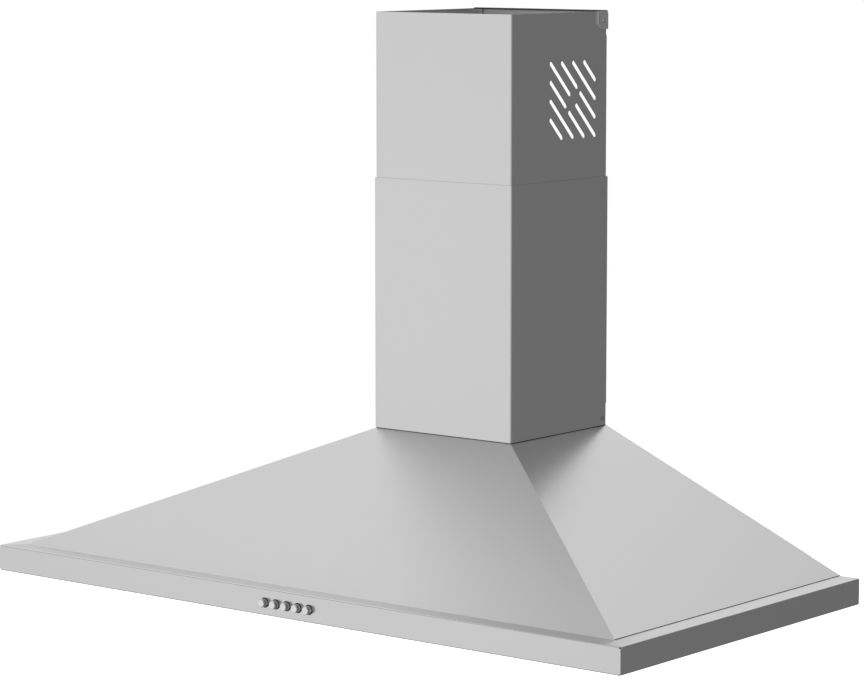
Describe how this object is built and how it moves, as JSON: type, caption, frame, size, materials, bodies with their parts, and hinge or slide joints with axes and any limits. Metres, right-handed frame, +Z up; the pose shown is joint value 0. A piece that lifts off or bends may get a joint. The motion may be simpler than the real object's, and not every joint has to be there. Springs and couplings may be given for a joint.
{
  "type": "pyramid range hood",
  "caption": "Wall range hood with a shallow steel pyramid canopy, telescoping chimney with slanted vent slots, push buttons, drop-down filters, lamps and a ducted blower.",
  "frame": {"origin": "on the wall plane, under the middle of the canopy, level with the lip's lower edge", "axes": "+X to the right seen from the front, +Y into the wall, +Z up"},
  "size_m": [0.9, 0.4665, 0.6583],
  "materials": {
    "stainless": "satin brushed stainless sheet",
    "chrome": "polished chrome plating",
    "zinc": "galvanised sheet, dull spangle",
    "coated": "black powder coat on steel",
    "passivated": "grey-green passivated zinc",
    "filter": "mill finish aluminium",
    "wheel": "dark moulded nylon",
    "black": "fine-grained black moulding",
    "white": "off-white moulding",
    "motor": "lacquered motor can and laminations",
    "bright": "ground steel",
    "bronze": "sintered bronze",
    "lens": "frosted glass"
  },
  "bodies": {
    "canopy": {"blower_hanger_left": "zinc", "blower_hanger_right": "zinc", "bottom_panel": "stainless", "cable_gland": "black", "capacitor": "white", "capacitor_clip": "zinc", "chimney_screws": "passivated", "flap_pin": "bright", "front_lip": "stainless", "front_panel": "stainless", "hanger_screws": "bright", "lamp_bezel_left": "chrome", "lamp_bezel_right": "chrome", "lamp_body_left": "filter", "lamp_body_right": "filter", "lamp_lens_left": "lens", "lamp_lens_right": "lens", "left_lip": "stainless", "left_panel": "stainless", "lower_chimney": "stainless", "motor": "motor", "motor_bracket": "zinc", "motor_bushes": "bronze", "motor_screws": "bright", "outlet_spigot": "black", "rear_panel": "zinc", "right_lip": "stainless", "right_panel": "stainless", "scroll_side_left": "zinc", "scroll_side_right": "zinc", "scroll_wrap": "zinc", "spigot_screws": "bright", "switch_housing": "black", "terminal_block": "white", "terminal_box": "white", "terminal_lid": "white", "top_frame": "coated"},
    "upper_chimney": {"upper_chimney": "stainless", "wall_bracket": "zinc", "ear_screws": "bright"},
    "impeller": {"impeller": "wheel", "motor_shaft": "bright", "impeller_nut": "bright"},
    "flap_front": {"flap_front": "black"},
    "flap_rear": {"flap_rear": "black"},
    "filter_left": {"filter_frame_left": "filter", "filter_mesh_left": "filter", "filter_handle_left": "black"},
    "filter_right": {"filter_frame_right": "filter", "filter_mesh_right": "filter", "filter_handle_right": "black"},
    "latch_left": {"filter_latch_left": "chrome"},
    "latch_right": {"filter_latch_right": "chrome"},
    "lamp_button": {"lamp_button": "chrome"},
    "stop_button": {"stop_button": "chrome"},
    "low_button": {"low_button": "chrome"},
    "medium_button": {"medium_button": "chrome"},
    "high_button": {"high_button": "chrome"}
  },
  "joints": [
    {"name": "upper_chimney_slide", "type": "slide", "parent": "canopy", "child": "upper_chimney", "axis": [0, 0, 1], "range_m": [-0.17, 0.057]},
    {"name": "impeller_spin", "type": "hinge", "parent": "canopy", "child": "impeller", "pos_m": [0, -0.1132, 0.128], "axis": [1, 0, 0], "continuous": true},
    {"name": "flap_front_hinge", "type": "hinge", "parent": "canopy", "child": "flap_front", "pos_m": [0, -0.0829, 0.2339], "axis": [-1, 0, 0], "range_deg": [0, 78]},
    {"name": "flap_rear_hinge", "type": "hinge", "parent": "canopy", "child": "flap_rear", "pos_m": [0, -0.0829, 0.2339], "axis": [1, 0, 0], "range_deg": [0, 78]},
    {"name": "filter_left_hinge", "type": "hinge", "parent": "canopy", "child": "filter_left", "pos_m": [-0.212, -0.044, 0.00175], "axis": [1, 0, 0], "range_deg": [0, 70]},
    {"name": "latch_left_slide", "type": "slide", "parent": "filter_left", "child": "latch_left", "axis": [0, 1, 0], "range_m": [0, 0.007], "stiffness_N_per_m": 400},
    {"name": "filter_right_hinge", "type": "hinge", "parent": "canopy", "child": "filter_right", "pos_m": [0.212, -0.044, 0.00175], "axis": [1, 0, 0], "range_deg": [0, 70]},
    {"name": "latch_right_slide", "type": "slide", "parent": "filter_right", "child": "latch_right", "axis": [0, 1, 0], "range_m": [0, 0.007], "stiffness_N_per_m": 400},
    {"name": "lamp_button_push", "type": "slide", "parent": "canopy", "child": "lamp_button", "axis": [0, 1, 0], "range_m": [0, 0.003], "stiffness_N_per_m": 400},
    {"name": "stop_button_push", "type": "slide", "parent": "canopy", "child": "stop_button", "axis": [0, 1, 0], "range_m": [0, 0.003], "stiffness_N_per_m": 400},
    {"name": "low_button_push", "type": "slide", "parent": "canopy", "child": "low_button", "axis": [0, 1, 0], "range_m": [0, 0.003], "stiffness_N_per_m": 400},
    {"name": "medium_button_push", "type": "slide", "parent": "canopy", "child": "medium_button", "axis": [0, 1, 0], "range_m": [0, 0.003], "stiffness_N_per_m": 400},
    {"name": "high_button_push", "type": "slide", "parent": "canopy", "child": "high_button", "axis": [0, 1, 0], "range_m": [0, 0.003], "stiffness_N_per_m": 400}
  ]
}
